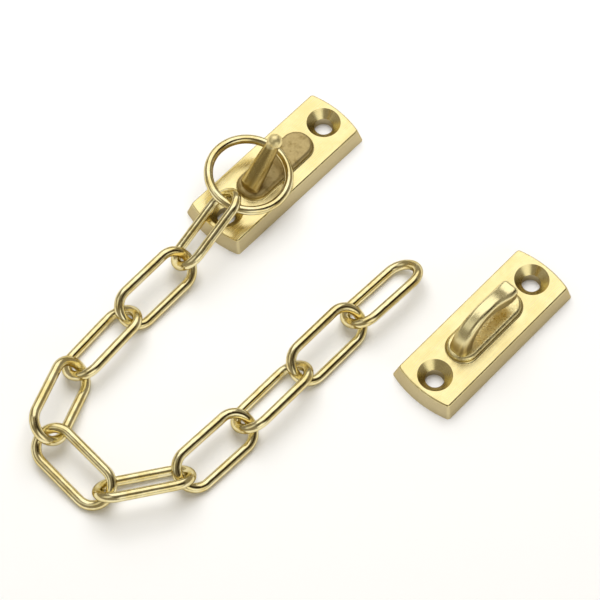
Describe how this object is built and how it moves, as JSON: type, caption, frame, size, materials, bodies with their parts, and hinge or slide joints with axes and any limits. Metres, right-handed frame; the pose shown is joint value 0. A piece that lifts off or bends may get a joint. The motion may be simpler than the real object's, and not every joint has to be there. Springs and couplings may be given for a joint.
{
  "type": "door chain",
  "caption": "Brass door chain: long oval links on a ring over a leaning horn on one small screw-on plate, and a matching plate with a finger hook.",
  "frame": {"origin": "back face of the chain plate, midway between its two screw holes", "axes": "+Z out of the door through the plates, +Y along both plates from the ring's side to the horn's tip, +X from the chain plate to the keeper plate"},
  "size_m": [0.0905, 0.1254, 0.0186],
  "materials": {
    "cast_brass": "polished, lightly brushed",
    "brass_wire": "polished"
  },
  "bodies": {
    "plates": {"chain_plate": "cast_brass", "keeper_plate": "cast_brass"},
    "ring": {"ring": "brass_wire"},
    "link_01": {"link_01": "brass_wire"},
    "link_02": {"link_02": "brass_wire"},
    "link_03": {"link_03": "brass_wire"},
    "link_04": {"link_04": "brass_wire"},
    "link_05": {"link_05": "brass_wire"},
    "link_06": {"link_06": "brass_wire"},
    "link_07": {"link_07": "brass_wire"},
    "link_08": {"link_08": "brass_wire"},
    "link_09": {"link_09": "brass_wire"},
    "link_10": {"link_10": "brass_wire"}
  },
  "joints": [
    {"name": "ring_on_horn", "type": "hinge", "parent": "plates", "child": "ring", "pos_m": [-0.00106, 0.00159, 0.00938], "axis": [-0.9925, 0, 0.1219], "range_deg": [0, 90]},
    {"name": "link_01_on_ring", "type": "hinge", "parent": "ring", "child": "link_01", "pos_m": [0.00065, -0.01866, 0.01023], "axis": [-0.9748, -0.182, 0.1292], "range_deg": [0, 110]},
    {"name": "link_02_on_link_01", "type": "hinge", "parent": "link_01", "child": "link_02", "pos_m": [0.00211, -0.03754, 0.00513], "axis": [-0.7842, 0.1652, -0.5981], "range_deg": [-75, 90]},
    {"name": "link_03_on_link_02", "type": "hinge", "parent": "link_02", "child": "link_03", "pos_m": [0.0025, -0.0571, 0.00388], "axis": [0.7869, 0.0857, -0.6111], "range_deg": [-90, 90]},
    {"name": "link_04_on_link_03", "type": "hinge", "parent": "link_03", "child": "link_04", "pos_m": [0.00459, -0.07652, 0.00393], "axis": [-0.8408, -0.2596, -0.475], "range_deg": [-90, 90]},
    {"name": "link_05_on_link_04", "type": "hinge", "parent": "link_04", "child": "link_05", "pos_m": [0.01181, -0.09049, 0.00617], "axis": [0.7229, 0.5623, 0.4016], "range_deg": [-55, 90]},
    {"name": "link_06_on_link_05", "type": "hinge", "parent": "link_05", "child": "link_06", "pos_m": [0.03255, -0.09135, 0.00393], "axis": [0.4397, -0.6096, -0.6596], "range_deg": [-90, 90]},
    {"name": "link_07_on_link_06", "type": "hinge", "parent": "link_06", "child": "link_07", "pos_m": [0.04348, -0.07577, 0.0038], "axis": [0.719, -0.2154, 0.6608], "range_deg": [-90, 90]},
    {"name": "link_08_on_link_07", "type": "hinge", "parent": "link_07", "child": "link_08", "pos_m": [0.04387, -0.05599, 0.00366], "axis": [0.8661, 0.0234, -0.4993], "range_deg": [-90, 90]},
    {"name": "link_09_on_link_08", "type": "hinge", "parent": "link_08", "child": "link_09", "pos_m": [0.0441, -0.0364, 0.00413], "axis": [-0.819, 0.0203, -0.5735], "range_deg": [-90, 90]},
    {"name": "link_10_on_link_09", "type": "hinge", "parent": "link_09", "child": "link_10", "pos_m": [0.04438, -0.01684, 0.00368], "axis": [0.8054, -0.0942, -0.5852], "range_deg": [-90, 90]}
  ]
}
